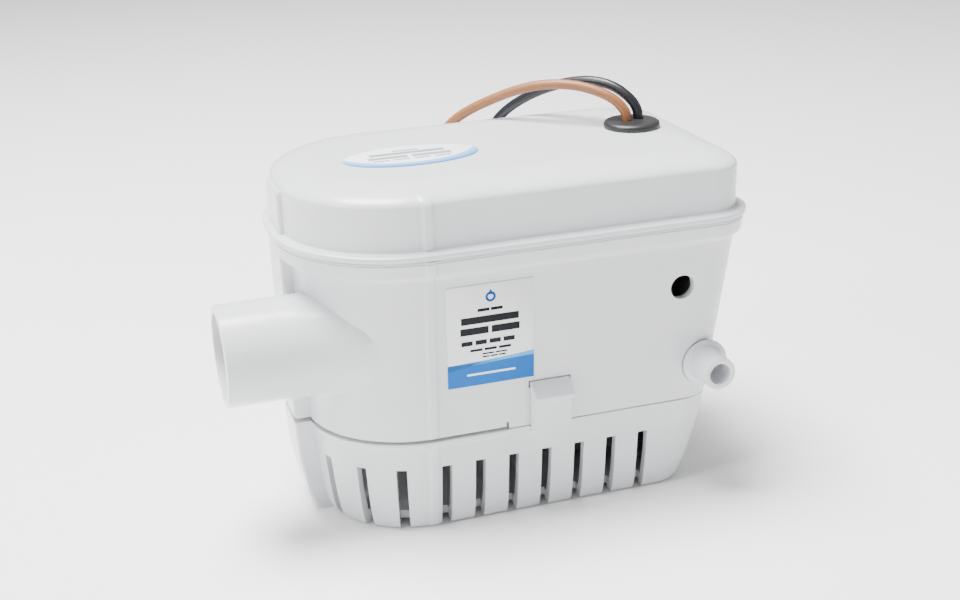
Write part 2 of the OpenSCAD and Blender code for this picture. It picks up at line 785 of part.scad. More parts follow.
// Each spring is a short stack of wire turns behind its brush
module brush_springs() {
    turns = 1 + floor((pocket_end - brush_end - 0.7) / 0.62);
    color(steel) brush_pair() translate([brush_end + 0.35, 0, 0]) rotate([0, 90, 0])
        for (i = [0:turns - 1]) translate([0, 0, 0.62 * i])
            rotate_extrude() translate([1.1, 0]) circle(r = 0.33, $fn = 16);
}

module motor_terminals() {
    color("#c98a4b") for (side = [-1, 1])
        translate([pump_x + side * 10 - 1, -0.4, brush_z + 4.1])
            cube([2, 0.8, can_top + end_cap_h + 4 - brush_z - 4.1]);
}

module bearing(z) {
    color("#b08d57") translate([pump_x, 0, 0]) ring(z, bearing_h, bearing_r, shaft_r + 0.03);
}

module upper_bearing() {
    bearing(can_top + end_cap_h - 0.8 - bearing_h);
}

module lower_bearing() {
    bearing(can_z + 0.2);
}

module shaft_seal() {
    color(rubber_black) translate([pump_x, 0, 0]) ring(well_bottom, well_floor - well_bottom, seal_r - 0.03, shaft_r + 0.03);
}

// ---- Impeller and inlet ----

module impeller() {
    blade_r = impeller_d * 0.42;
    color("#2f2f31") translate([pump_x, 0, 0]) difference() {
        union() {
            cylinder_between(shroud_z, shroud_z + 1.6, impeller_d / 2);
            cylinder_between(shroud_z - blade_h + 1, shroud_z + 4, 4);
            translate([0, 0, shroud_z - blade_h]) linear_extrude(blade_h + 0.1)
                for (i = [0:blade_count - 1]) rotate(i * 360 / blade_count) intersection() {
                    translate([0, blade_r]) difference() {
                        circle(r = blade_r + 0.6);
                        circle(r = blade_r - 0.6);
                    }
                    translate([2.5, -impeller_d]) square([impeller_d, 2 * impeller_d]);
                    circle(r = impeller_d / 2 - 0.4);
                }
        }
        cylinder_between(shroud_z - 20, shroud_z + 20, shaft_r + 0.02);
    }
}

module volute_plate() {
    color("#d9d9d9") difference() {
        union() {
            translate([pump_x, 0, 0]) {
                cylinder_between(skirt_z - plate_t, skirt_z, skirt_r);
                cylinder_between(skirt_z - 0.1, skirt_z + spigot_h, chamber_r - 0.1);
            }
            plate_bosses(skirt_z - plate_t, plate_t, boss_r);
        }
        translate([pump_x, 0, 0]) cylinder_between(skirt_z - 4, skirt_z + 4, eye_d / 2);
        plate_bosses(skirt_z - 4, 8, 1.4);
        translate([pump_x, 0, skirt_z + 0.55]) rotate_extrude() translate([chamber_r - 0.1, 0]) circle(r = 0.5);
    }
}

module volute_o_ring() {
    color(rubber_black) translate([pump_x, 0, skirt_z + 0.55]) rotate_extrude()
        translate([chamber_r - 0.5, 0]) circle(r = 0.42);
}

module volute_screws() {
    color(steel) for (a = boss_angles) translate([pump_x, 0, 0]) rotate([0, 0, a])
        screw_up(boss_reach, 0, skirt_z - plate_t, 1.05, 2.2, 8);
}

// ---- Leads ----

function unit(v) = v / norm(v);
function along(route, i) = unit(route[min(i + 1, len(route) - 1)] - route[max(i - 1, 0)]);
// Carries a vector across from one direction to the next without twist
function carried(v, t) = unit(v - (v * t) * t);
function frames(route, i, v) = let (n = carried(v, along(route, i)))
    i == len(route) - 1 ? [n] : concat([n], frames(route, i + 1, n));

// A tube of 8 sides swept along the route
module lead_tube(route, r) {
    sides = 8;
    side_dirs = frames(route, 0, [1, 0, 0]);
    rings = [for (i = [0:len(route) - 1]) let (n = side_dirs[i], b = cross(along(route, i), n))
        for (k = [0:sides - 1]) let (a = 360 * k / sides) route[i] + r * (cos(a) * n + sin(a) * b)];
    last = (len(route) - 1) * sides;
    faces = concat(
        [[for (k = [0:sides - 1]) k]],
        [for (i = [0:len(route) - 2], k = [0:sides - 1]) let (m = (k + 1) % sides)
            [i * sides + k, (i + 1) * sides + k, (i + 1) * sides + m, i * sides + m]],
        [[for (k = [sides - 1:-1:0]) last + k]]);
    polyhedron(rings, faces);
}

module inner_lead(at, route_end, tint) {
    low = cover_top - wall - 5;
    color(tint) {
        up_cylinder(at[0], at[1], low, grommet_top - low, lead_r);
        lead_tube(concat([[at[0], at[1], low + 1]], route_end), lead_r - 0.1);
    }
}

module inner_brown_lead() {
    inner_lead(brown_at, [[38, 3, 91.6], [22, 6, 91.8], [-8, 5, 92], [pump_x + 11.4, 0.4, 92.4]], "#8a5a36");
}

module inner_black_lead() {
    inner_lead(black_at, [[46.9, 0, 91.4], [46.4, -9, 88.6], [vent_x + 1.6, capsule_y + 1.4, 85.4], [vent_x + 1.6, capsule_y, 82.8], [vent_x + 1.6, capsule_y, rim_z + 0.2]], rubber_black);
}

module inner_switch_lead() {
    color("#5f6b8a") lead_tube([[vent_x - 1.6, capsule_y, rim_z + 0.2],
        [vent_x - 1.6, capsule_y, 83.2], [vent_x - 3, capsule_y + 0.6, 86.6],
        [vent_x - 9, capsule_y + 2, 89.6], [24, -13.6, 91.4], [0, -12.6, 92], [-24, -9.6, 92.4],
        [-35, -6.6, 92.2], [pump_x - 9.4, -3.4, 91.8], [pump_x - 10, -0.8, 91.8]], lead_r - 0.1);
}

module brown_lead() {
    color("#8a5a36") lead_tube(brown_route, lead_r);
}

module black_lead() {
    color(rubber_black) lead_tube(black_route, lead_r);
}

// The outer shape of a coil: a ring with rounded edges
module coil_ring(z) {
    translate([coil_x, coil_y, z]) rotate_extrude() translate([coil_mid_r - coil_half_w, 0]) {
        translate([1, 0]) square([2 * coil_half_w - 2, coil_h]);
        translate([0, 1]) square([2 * coil_half_w, coil_h - 2]);
    }
}

module brown_coil() {
    color("#8a5a36") coil_ring(brown_coil_z);
}

module black_coil() {
    color(rubber_black) coil_ring(black_coil_z);
}

module coil_tie() {
    tie_w = 3;
    high = black_coil_z + coil_h + 0.1;
    near = coil_mid_r - coil_half_w - 0.1;
    far = coil_mid_r + coil_half_w + 0.1;
    color("#e8e8e8") translate([coil_x, coil_y - tie_w / 2, 0]) difference() {
        translate([near - tie_t, 0, 0]) cube([far - near + 2 * tie_t, tie_w, high + tie_t]);
        translate([near, -1, tie_t]) cube([far - near, tie_w + 2, high - tie_t]);
    }
}

module tip(z) {
    color("#c98a4b") translate([coil_x - 9 - tip_len, coil_y + coil_mid_r + coil_half_w - 1.1, z])
        rotate([0, 90, 0]) cylinder(h = tip_len, r = tip_r);
}

module brown_tip() {
    tip(brown_coil_z + coil_h / 2);
}

module black_tip() {
    tip(black_coil_z + coil_h / 2);
}

// ---- Labels ----

module front_label() {
    foot = seam_z + 15.6;
    color("#3f9bd8") translate([pump_x + 4.4, -wall_y(foot) - 0.02, foot]) rotate([side_draft, 0, 0])
        translate([0, -0.25, 0]) cube([label_w, 0.25, label_h]);
}

module top_label() {
    half_x = 19.5;
    half_y = 10.5;
    color("#b9d7ee") translate([pump_x + 5.7, -3, cover_top + 0.02]) linear_extrude(0.2)
        polygon([for (a = [0:6:354]) [half_x * cos(a), half_y * sin(a)]]);
}

top_cover();
cover_gasket();
cable_grommet();
pump_housing();
strainer_base();
front_latch();
rear_latch();
float();
float_magnet();
float_pin();
switch_capsule();
reed_switch();
switch_screws();
test_knob();
knob_o_ring();
knob_clip();
motor_can();
motor_end_cap();
motor_screws();
field_magnets();
motor_shaft();
armature_core();
armature_windings();
commutator();
carbon_brushes();
brush_holders();
brush_springs();
motor_terminals();
upper_bearing();
lower_bearing();
shaft_seal();
impeller();
volute_plate();
volute_o_ring();
volute_screws();
inner_brown_lead();
inner_black_lead();
inner_switch_lead();
front_label();
top_label();
brown_lead();
black_lead();
brown_coil();
black_coil();
coil_tie();
brown_tip();
black_tip();
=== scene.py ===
"""Looks of the bilge pump: smooth moulded shells, labels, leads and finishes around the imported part."""
import json
import math

import bmesh
import bpy
from mathutils import Matrix, Vector


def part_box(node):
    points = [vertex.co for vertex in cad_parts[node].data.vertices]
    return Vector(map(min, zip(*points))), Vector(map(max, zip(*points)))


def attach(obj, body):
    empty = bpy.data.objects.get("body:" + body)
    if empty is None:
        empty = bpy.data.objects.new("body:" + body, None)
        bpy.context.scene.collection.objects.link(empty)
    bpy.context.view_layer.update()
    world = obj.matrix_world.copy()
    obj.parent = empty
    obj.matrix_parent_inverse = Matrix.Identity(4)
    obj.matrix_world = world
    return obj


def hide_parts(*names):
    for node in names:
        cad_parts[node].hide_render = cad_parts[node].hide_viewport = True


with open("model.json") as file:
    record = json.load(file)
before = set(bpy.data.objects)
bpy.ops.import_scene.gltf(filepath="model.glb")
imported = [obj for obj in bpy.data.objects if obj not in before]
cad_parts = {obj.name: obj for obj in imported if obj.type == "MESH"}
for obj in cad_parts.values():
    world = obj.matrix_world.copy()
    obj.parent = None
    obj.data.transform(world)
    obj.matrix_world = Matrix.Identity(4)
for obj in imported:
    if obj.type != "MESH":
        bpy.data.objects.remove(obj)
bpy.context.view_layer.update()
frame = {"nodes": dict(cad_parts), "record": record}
MM = 0.001

# Millimetres, as in the part's source
HALF_LEN = 66
HALF_W = 41
PUMP_R = 35.8
PUMP_X = PUMP_R - HALF_LEN
PUMP_Y = HALF_W - PUMP_R
RIM_Z = 79
COVER_TOP = 102.5
WALL = 2.4
SPOUT_Y = -15.5
SPOUT_Z = 56
SPOUT_END = -84.5
PAD_HALF_W = 8.5
PART_X = -5.6
SLOT_W = 3
SLOT_H = 20.5
VENT = (43.9, 64.9)
KNOB = (52.075, 40.4)
KNOB_Y = -34.75
LATCH_X = 4
GROMMET = (44.8, 2)
LEAD_R = 1.5


# ---- Camera ----

def make_camera():
    yaw, pitch, roll = (math.radians(a) for a in (17.285, 22.084, -1.884))
    ahead = Vector((math.sin(yaw) * math.cos(pitch), math.cos(yaw) * math.cos(pitch), -math.sin(pitch)))
    level = Vector((math.cos(yaw), -math.sin(yaw), 0))
    up = level.cross(ahead)
    side = level * math.cos(roll) + up * math.sin(roll)
    top = up * math.cos(roll) - level * math.sin(roll)
    data = bpy.data.cameras.new("camera")
    data.lens = 51.97
    data.sensor_width = 36
    data.shift_x = 0.0074
    data.shift_y = 0.0306
    camera = bpy.data.objects.new("camera", data)
    bpy.context.scene.collection.objects.link(camera)
    turn = Matrix((side, top, -ahead)).transposed().to_4x4()
    camera.matrix_world = Matrix.Translation(Vector((-121.7, -368.1, 202.7)) * MM) @ turn
    bpy.context.scene.camera = camera


make_camera()


# ---- Shader maths ----

class Value:
    """A number in a material; arithmetic on it adds the Math nodes it needs."""

    def __init__(self, material, socket):
        self.material = material
        self.socket = socket

    def math(self, operation, *others):
        sockets = {i: v for i, v in enumerate((self,) + others)}
        return self.material.node("ShaderNodeMath", {"operation": operation}, sockets).value()

    def flipped(self, operation, other):
        return self.material.node("ShaderNodeMath", {"operation": operation}, {0: other,
                                                                               1: self}).value()

    def __add__(self, other):
        return self.math("ADD", other)

    def __sub__(self, other):
        return self.math("SUBTRACT", other)

    def __rsub__(self, other):
        return self.flipped("SUBTRACT", other)

    def __mul__(self, other):
        return self.math("MULTIPLY", other)

    def __truediv__(self, other):
        return self.math("DIVIDE", other)

    def __lt__(self, other):
        return self.math("LESS_THAN", other)

    def __gt__(self, other):
        return self.math("GREATER_THAN", other)

    __radd__ = __add__
    __rmul__ = __mul__


class Node:
    def __init__(self, material, node):
        self.material = material
        self.node = node

    def value(self, output=0):
        return Value(self.material, self.node.outputs[output])


class Finish:
    """A material built from one Principled shader."""

    def __init__(self, name, color, roughness, metallic=0.0, **constants):
        self.data = bpy.data.materials.new(name)
        self.data.use_nodes = True
        self.tree = self.data.node_tree
        self.shader = self.tree.nodes["Principled BSDF"]
        self.set("Base Color", (*color, 1))
        self.set("Roughness", roughness)
        self.set("Metallic", metallic)
        for key, value in constants.items():
            self.set(key.replace("_", " "), value)

    def set(self, socket, value):
        self.plug(self.shader.inputs[socket], value)

    def plug(self, socket, value):
        if isinstance(value, Value):
            self.tree.links.new(value.socket, socket)
        else:
            socket.default_value = value

    def node(self, kind, settings=None, sockets=None):
        made = self.tree.nodes.new(kind)
        for key, value in (settings or {}).items():
            if key == "stops":
                ramp = made.color_ramp
                while len(ramp.elements) < len(value):
                    ramp.elements.new(0.5)
                for element, (place, color) in zip(ramp.elements, value):
                    element.position = place
                    element.color = (*color, 1)
            else:
                setattr(made, key, value)
        for key, value in (sockets or {}).items():
            self.plug(made.inputs[key], value)
        return Node(self, made)

    def place(self):
        return self.node("ShaderNodeTexCoord").value("Object")

    def axes(self):
        """X, Y and Z of the surface, in millimetres."""
        split = self.node("ShaderNodeSeparateXYZ", None, {0: self.place()})
        return [split.value(i) * 1000 for i in range(3)]

    def noise(self, per_mm, detail=3.0, rough=0.5):
        sockets = {"Vector": self.place(), "Scale": per_mm * 1000, "Detail": detail, "Roughness": rough}
        return self.node("ShaderNodeTexNoise", None, sockets).value(0)

    def ramp(self, factor, *stops):
        return self.node("ShaderNodeValToRGB", {"stops": stops}, {0: factor}).value()

    def mix(self, factor, a, b):
        colors = [c if isinstance(c, Value) else (*c, 1) for c in (a, b)]
        return self.node("ShaderNodeMix", {"data_type": "RGBA"}, {0: factor, 6: colors[0],
                                                                  7: colors[1]}).value(2)

    def bump(self, height, distance_mm, strength=1.0):
        sockets = {"Height": height, "Distance": distance_mm * MM, "Strength": strength}
        self.set("Normal", self.node("ShaderNodeBump", None, sockets).value())


def mottled(name, color, darker, roughness, spread, metallic=0.0, grain=2.0, relief=0.02, **constants):
    """A finish whose colour and gloss drift a little and whose surface has a fine grain."""
    finish = Finish(name, color, roughness, metallic, **constants)
    drift = finish.noise(0.04, 4.0)
    fine = finish.noise(grain, 2.0)
    finish.set("Base Color", finish.ramp(drift, (0.3, darker), (0.7, color)))
    finish.set("Roughness", roughness - spread / 2 + spread * finish.noise(0.25, 5.0))
    finish.bump(fine, relief)
    return finish.data


def brushed_metal(name, color, roughness, streaks=12.0):
    finish = Finish(name, color, roughness, 1.0)
    x, y, z = finish.axes()
    place = finish.node("ShaderNodeCombineXYZ", None, {0: x * 0.3, 1: y * 0.3, 2: z * streaks}).value()
    lines = finish.node("ShaderNodeTexNoise", None, {"Vector": place, "Scale": 1.0,
                                                     "Detail": 4.0}).value(0)
    finish.set("Roughness", roughness - 0.1 + 0.2 * lines)
    finish.set("Base Color", finish.ramp(lines, (0.3, [c * 0.86 for c in color]), (0.7, color)))
    finish.bump(lines, 0.01)
    return finish.data


def in_band(value, low, high):
    return (value > low) * (value < high)


def bars(u, v, rows):
    """Plain bars in place of print: each row is foot, top, left, right and how many words it has."""
    ink = None
    for foot, top, left, right, words in rows:
        gap = 0.05 * words
        word = ((u - left) * ((words - gap * 0.2) / (right - left))).math("FRACT") < 1 - gap
        bar = in_band(v, foot, top) * in_band(u, left, right) * word
        ink = bar if ink is None else ink + bar
    return ink


def front_label_print():
    """White film: a drop in a ring, rows of plain bars, and a blue wave along the foot."""
    finish = Finish("front_label_film", (0.9, 0.9, 0.9), 0.45, Specular_IOR_Level=0.12)
    low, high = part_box("front_label")
    x, y, z = finish.axes()
    u = (x - low.x / MM) / ((high.x - low.x) / MM)
    v = (z - low.z / MM) / ((high.z - low.z) / MM)
    ink = bars(u, v, ((0.735, 0.765, 0.35, 0.65, 2), (0.62, 0.69, 0.16, 0.85, 1), (0.515, 0.585, 0.15,
                                                                                   0.86, 2),
                      (0.41, 0.455, 0.16, 0.8, 4), (0.345, 0.37, 0.26, 0.75, 3), (0.305, 0.32, 0.4, 0.7,
                                                                                  2),
                      (0.275, 0.29, 0.4, 0.68, 3)))
    dx = (u - 0.5) * 0.83
    dy = v - 0.87
    far = (dx * dx + dy * dy).math("SQRT")
    ring = in_band(far, 0.026, 0.05)
    tail = in_band(dy, 0.02, 0.075) * ((dx.math("ABSOLUTE") + dy * 0.55) < 0.042)
    wave = 0.235 + 0.045 * u * u
    low = 0.232 - 0.06 * (1 - u) * (1 - u)
    address = in_band(v, 0.105, 0.125) * in_band(u, 0.22, 0.78)
    color = finish.mix(ink, (0.8, 0.81, 0.82), (0.006, 0.007, 0.01))
    color = finish.mix((ring + tail) > 0.5, color, (0.004, 0.07, 0.3))
    crest = finish.ramp(u, (0.25, (0.002, 0.09, 0.3)), (0.6, (0.1, 0.36, 0.68)))
    color = finish.mix(v < wave, color, crest)
    color = finish.mix(v < low, color, (0.005, 0.12, 0.42))
    color = finish.mix(address, color, (0.75, 0.85, 0.92))
    finish.set("Base Color", color)
    finish.bump(finish.noise(0.9, 3.0), 0.01)
    return finish.data


def top_label_print():
    """An oval of white film with rows of grey bars and a pale blue crescent on its front edge."""
    finish = Finish("top_label_film", (0.85, 0.85, 0.86), 0.45, Specular_IOR_Level=0.12)
    low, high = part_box("top_label")
    x, y, z = finish.axes()
    u = (x - (low.x + high.x) / 2 / MM) / ((high.x - low.x) / 2 / MM)
    v = (y - (low.y + high.y) / 2 / MM) / ((high.y - low.y) / 2 / MM)
    inner = u * u * 0.8 + (v - 0.75) * (v - 0.75) * 0.42
    crescent = inner > 0.86
    fade = ((inner - 0.86) * 2.2).math("MINIMUM", 1.0)
    ink = bars(u, v, ((0.5, 0.62, -0.2, 0.2, 1), (0.18, 0.42, -0.58, 0.58, 1), (-0.16, 0.08, -0.64,
                                                                                0.64, 2),
                      (-0.36, -0.24, -0.6, 0.6, 4)))
    blue = finish.ramp(fade, (0.0, (0.3, 0.52, 0.8)), (1.0, (0.03, 0.2, 0.55)))
    color = finish.mix(ink * 0.75, (0.86, 0.87, 0.88), (0.08, 0.1, 0.14))
    finish.set("Base Color", finish.mix(crescent * (1 - ink), color, blue))
    return finish.data


WHITE = mottled("white_moulding", (0.68, 0.69, 0.71), (0.65, 0.665, 0.685), 0.24, 0.08, grain=1.6,
                relief=0.004)
FINISHES = {
    "white_plastic": WHITE,
    "black_rubber": mottled("satin_rubber", (0.02, 0.02, 0.021), (0.012, 0.012, 0.013), 0.42, 0.15,
                            grain=3, relief=0.02),
    "float_plastic": mottled("float_foam", (0.05, 0.05, 0.055), (0.03, 0.03, 0.033), 0.65, 0.2,
                             grain=1.2, relief=0.08),
    "black_plastic": mottled("black_moulding", (0.03, 0.03, 0.032), (0.02, 0.02, 0.022), 0.45, 0.15,
                             relief=0.03),
    "plated_steel": brushed_metal("plated_steel", (0.62, 0.62, 0.63), 0.3),
    "stainless": brushed_metal("turned_stainless", (0.68, 0.67, 0.66), 0.22),
    "magnet": mottled("ferrite", (0.07, 0.07, 0.075), (0.04, 0.04, 0.045), 0.6, 0.2, relief=0.05),
    "core_steel": brushed_metal("laminations", (0.36, 0.36, 0.37), 0.4, 30.0),
    "copper": brushed_metal("bare_copper", (0.75, 0.38, 0.2), 0.3),
    "carbon": mottled("carbon", (0.03, 0.03, 0.03), (0.02, 0.02, 0.02), 0.55, 0.15, relief=0.05),
    "brown_resin": mottled("pressed_resin", (0.2, 0.1, 0.05), (0.12, 0.06, 0.03), 0.5, 0.2,
                           relief=0.04),
    "bronze": mottled("sintered_bronze", (0.5, 0.36, 0.18), (0.4, 0.28, 0.14), 0.45, 0.2, 1.0, 3.0,
                      0.04),
    "glass_green": mottled("switch_glass", (0.4, 0.6, 0.52), (0.3, 0.5, 0.44), 0.12, 0.05,
                           relief=0.005),
    "brown_insulation": mottled("brown_insulation", (0.29, 0.115, 0.04), (0.23, 0.085, 0.03), 0.42,
                                0.16, grain=1.5,
                                relief=0.03),
    "black_insulation": mottled("black_insulation", (0.012, 0.014, 0.018), (0.008, 0.009, 0.011), 0.36,
                                0.16,
                                grain=1.5, relief=0.03),
    "grey_insulation": mottled("grey_insulation", (0.12, 0.15, 0.24), (0.09, 0.11, 0.18), 0.42, 0.16,
                               relief=0.03),
    "tie_plastic": mottled("nylon", (0.78, 0.78, 0.76), (0.7, 0.7, 0.68), 0.4, 0.1, relief=0.02),
    "grey_plastic": mottled("grey_moulding", (0.62, 0.62, 0.61), (0.55, 0.55, 0.54), 0.4, 0.15,
                            relief=0.03),
}


# ---- Mesh making ----

def as_object(name, mesh, finish=None, body=None, nodes=()):
    made = bpy.data.objects.new(name, mesh)
    bpy.context.scene.collection.objects.link(made)
    if finish:
        mesh.materials.clear()
        mesh.materials.append(finish)
    if body:
        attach(made, body)
    if nodes:
        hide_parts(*nodes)
    return made


def to_mesh(bm, name="form"):
    bmesh.ops.recalc_face_normals(bm, faces=bm.faces)
    bmesh.ops.scale(bm, vec=(MM, MM, MM), verts=bm.verts)
    mesh = bpy.data.meshes.new(name)
    bm.to_mesh(mesh)
    bm.free()
    for face in mesh.polygons:
        face.use_smooth = True
    return mesh


def loft(rings, bm=None, closed=False):
    """A skin over rings that have the same number of points, with flat ends unless it closes on itself."""
    bm = bm or bmesh.new()
    rows = [[bm.verts.new(p) for p in ring] for ring in rings]
    n = len(rows[0])
    pairs = list(zip(rows, rows[1:] + rows[:1] if closed else rows[1:]))
    for low, high in pairs:
        for k in range(n):
            m = (k + 1) % n
            bm.faces.new((low[k], low[m], high[m], high[k]))
    if not closed:
        bm.faces.new(list(reversed(rows[0])))
        bm.faces.new(rows[-1])
    return bm


def lathe(profile, at, axis="Z", steps=72, bm=None):
    """Turns a list of (radius, height) about an axis through at. A profile that ends off the axis is capped."""
    turn = {"Z": Matrix(), "-Y": Matrix.Rotation(math.radians(90), 4, "X"),
            "-X": Matrix.Rotation(math.radians(-90), 4, "Y")}[axis]
    rings = []
    for r, h in profile:
        rings.append([Vector(at) + turn @ Vector((r * math.cos(math.tau * k / steps),
                                                  r * math.sin(math.tau * k / steps), h))
                      for k in range(steps)])
    return loft(rings, bm)


def tube_wall(profile, at, axis="Z", steps=72, bm=None):
    """A turned ring: the profile is a closed loop that stays off the axis."""
    turn = {"Z": Matrix(), "-Y": Matrix.Rotation(math.radians(90), 4, "X"),
            "-X": Matrix.Rotation(math.radians(-90), 4, "Y")}[axis]
    rings = []
    for k in range(steps):
        c, s = math.cos(math.tau * k / steps), math.sin(math.tau * k / steps)
        rings.append([Vector(at) + turn @ Vector((r * c, r * s, h)) for r, h in profile])
    return loft(rings, bm, closed=True)


def block(low, high, bm=None):
    bm = bm or bmesh.new()
    (x0, y0, z0), (x1, y1, z1) = low, high
    return loft([[Vector(p + (z,)) for p in ((x0, y0), (x1, y0), (x1, y1), (x0, y1))] for z in (z0,
                                                                                                z1)], bm)


def prism(points, x0, x1, bm=None):
    """A (y, z) outline drawn out along X."""
    return loft([[Vector((x, y, z)) for y, z in points] for x in (x0, x1)], bm)


def rounded(points, radius, steps=5):
    """The same outline with each corner turned into an arc."""
    out = []
    n = len(points)
    for i, p in enumerate(points):
        p = Vector(p)
        a = (Vector(points[i - 1]) - p).normalized()
        b = (Vector(points[(i + 1) % n]) - p).normalized()
        half = a.angle(b) / 2
        back = min(radius / math.tan(half), (Vector(points[i - 1]) - p).length * 0.45,
                   (Vector(points[(i + 1) % n]) - p).length * 0.45)
        start, end = p + a * back, p + b * back
        for k in range(steps + 1):
            t = k / steps
            out.append(tuple((1 - t) ** 2 * start + 2 * t * (1 - t) * p + t * t * end))
    return out


def finished(bm, name, add=(), cut=(), bevel=0.25, angle=32):
    """Joins and cuts the form with others, rounds the edges that makes, and returns one mesh."""
    made = as_object(name, to_mesh(bm))
    tools = [(as_object("tool", to_mesh(t)), "UNION") for t in add]
    tools += [(as_object("tool", to_mesh(t)), "DIFFERENCE") for t in cut]
    for tool, operation in tools:
        step = made.modifiers.new("step", "BOOLEAN")
        step.object = tool
        step.operation = operation
        step.solver = "EXACT"
    if bevel:
        soft = made.modifiers.new("soft", "BEVEL")
        soft.width = bevel * MM
        soft.segments = 2
        soft.limit_method = "ANGLE"
        soft.angle_limit = math.radians(angle)
        soft.miter_outer = "MITER_ARC"
    depsgraph = bpy.context.evaluated_depsgraph_get()
    mesh = bpy.data.meshes.new_from_object(made.evaluated_get(depsgraph))
    for tool, _ in tools:
        bpy.data.objects.remove(tool)
    bpy.data.objects.remove(made)
    for face in mesh.polygons:
        face.use_smooth = True
    mesh.set_sharp_from_angle(angle=math.radians(angle + 8))
    return mesh


def evened(piece):
    """Keeps big flat faces flat where they meet rounded edges."""
    even = piece.modifiers.new("even", "WEIGHTED_NORMAL")
    even.keep_sharp = True
    return piece


# ---- Shell outlines ----

NEAR_RIB = [0.27 * k for k in range(8)]


def shell_ring(z, side, end, far_r, rib=0.0):
    """The plan outline at height z: side and end are how far it stands in from the lip."""
    half_w, right, pump_r = HALF_W - side, HALF_LEN - end, PUMP_R - side
    centre_y = half_w - pump_r
    corner_x, corner_y = right - far_r, half_w - far_r
    straight = [PUMP_X + d for d in NEAR_RIB[1:]]
    last = straight[-1]
    straight += [last + (corner_x - last) * k / 8 for k in range(1, 8)]
    near = [math.degrees(d / pump_r) for d in NEAR_RIB]
    sweep = near + [near[-1] + (90 - near[-1]) * k / 24 for k in range(1, 25)]

    def proud(distance):
        t = min(1, max(0, (abs(distance) - 0.9) / 0.95))
        return rib * (1 - t * t * (3 - 2 * t))

    points = []
    for a in reversed(sweep):
        r = pump_r + proud(math.radians(a) * pump_r)
        points.append((PUMP_X - r * math.sin(math.radians(a)),
                       -centre_y - r * math.cos(math.radians(a))))
    points += [(x, -half_w - proud(x - PUMP_X)) for x in straight]
    points += [(corner_x + far_r * math.sin(math.radians(a)),
                -corner_y - far_r * math.cos(math.radians(a)))
               for a in range(0, 91, 6)]
    front = [Vector((x, y, z)) for x, y in points]
    return front + [Vector((p.x, -p.y, z)) for p in reversed(front)]


def side_in(z):
    return 4.1 + (RIM_Z - z) * math.tan(math.radians(2.75))


def end_in(z):
    return 2 + (RIM_Z - z) * math.tan(math.radians(8))


def wall_ring(z, more=0.0, rib=0.0):
    return shell_ring(z, side_in(z) + more, end_in(z) + more, 12 - (RIM_Z - z) / 50 - more * 0.6, rib)


def wall_y(z):
    return HALF_W - side_in(z)


def soft_pad(profile, half_w):
    """The flat pad down the pump end: profile is a list of (z, x of its face)."""
    rings = []
    for z, x in profile:
        outline = rounded([(x, -half_w), (x + 12, -half_w), (x + 12, half_w), (x, half_w)], 1.2)
        rings.append([Vector((px, py, z)) for px, py in outline])
    return loft(rings)


# ---- Cover ----

def dome_rings(start, more, rib):
    rings = [shell_ring(z, 3 + more, 3 + more, 11, rib) for z in start]
    top = COVER_TOP - more
    low = top - 4.5
    for k in range(15):
        a = math.radians(90 * k / 14)
        inset = 3 + more + 14 * (1 - math.cos(a))
        rings.append(shell_ring(low + 4.5 * math.sin(a), inset, inset, 11 + 1.5 * math.sin(a),
                                rib * (1 - k / 14)))
    return rings


def make_cover():
    lip = [(84.2, 0.5), (84.32, 0.2), (84.6, 0.02), (85.4, 0), (85.75, 0.08), (85.95, 0.35), (86.0,
                                                                                              0.7),
           (86.0, 2.0), (86.06, 2.5), (86.25, 2.85)]
    rings = [shell_ring(z, i, i, 14 - i, 0.25 if i > 1.9 else 0.0) for z, i in lip]
    rings += dome_rings((86.6, 90, 94), 0, 0.55)
    inside = dome_rings((85.0,), WALL, 0.0)
    spigot = loft([shell_ring(z, 5.6, 5.6, 10.4) for z in (82.4, 85.3)])
    clear = loft([shell_ring(z, 7.6, 7.6, 9) for z in (82.0, 85.2)])
    pad = soft_pad([(84.6, -64.2), (96.5, -64.2), (97.6, -63.9), (98.3, -63.0)], PAD_HALF_W)
    hole = lathe([(6.02, -8), (6.02, 2)], (*GROMMET, COVER_TOP))
    mesh = finished(loft(rings), "cover", add=[spigot, pad], cut=[clear, loft(inside), hole], bevel=0.3)
    evened(as_object("cover_shell", mesh, WHITE, "housing", ["top_cover"]))


def make_grommet():
    at = (*GROMMET, COVER_TOP)
    profile = [(6, -4.0), (7.5, -4.0), (7.5, -2.4), (6, -2.4), (6, 0.0), (8.0, 0.0), (8.25, 0.12), (8.3,
                                                                                                    0.4),
               (8.3, 1.1), (8.1, 1.55), (7.6, 1.9), (6.9, 2.08), (4.2, 2.1)]
    holes = [lathe([(LEAD_R + 0.06, -6), (LEAD_R + 0.06, 4)], (GROMMET[0] + dx, GROMMET[1] + dy,
                                                               COVER_TOP), steps=32)
             for dx, dy in ((-1.5, 0), (2.5, 1))]
    mesh = finished(lathe(profile, at), "grommet", cut=holes, bevel=0.12)
    evened(as_object("cable_bush", mesh, FINISHES["black_rubber"], "housing", ["cable_grommet"]))


# ---- Housing ----

